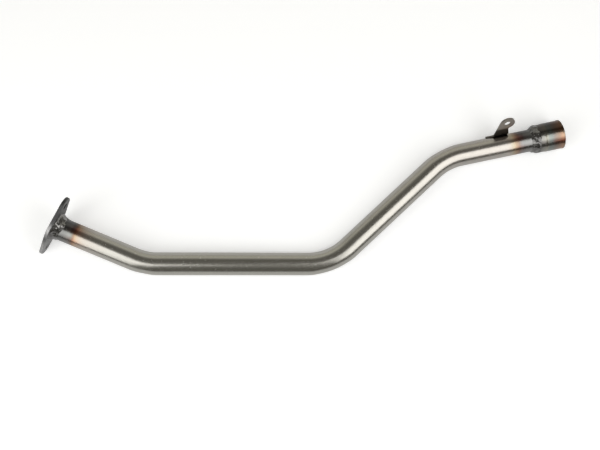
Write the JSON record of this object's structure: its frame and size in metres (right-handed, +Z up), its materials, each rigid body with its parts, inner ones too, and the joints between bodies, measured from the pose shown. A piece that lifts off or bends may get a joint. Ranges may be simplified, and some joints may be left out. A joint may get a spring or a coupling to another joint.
{
  "type": "exhaust link pipe",
  "caption": "Bent steel tube that carries exhaust gas from a bolted inlet flange to a slip-on outlet socket, with a welded hanger bracket.",
  "frame": {"origin": "middle of the footprint's bounding box, on the floor the pipe lies on", "axes": "+Z up from the floor; +X from the flanged end towards the outlet socket, along the middle run; +Y towards the side that both ends bend to"},
  "size_m": [0.7454, 0.2242, 0.0662],
  "materials": {
    "tube_steel": "satin, straw and blue heat tint near both ends",
    "sleeve_steel": "satin, straw to copper heat tint towards the rim",
    "flange_steel": "dull, with a sawn edge",
    "bracket_steel": "dull satin",
    "weld_metal": "raw, rippled, heat-darkened"
  },
  "bodies": {
    "root": {"bent_tube": "tube_steel", "inlet_flange": "flange_steel", "flange_weld": "weld_metal", "outlet_sleeve": "sleeve_steel", "sleeve_weld": "weld_metal", "hanger_bracket": "bracket_steel", "bracket_weld": "weld_metal"}
  },
  "joints": []
}
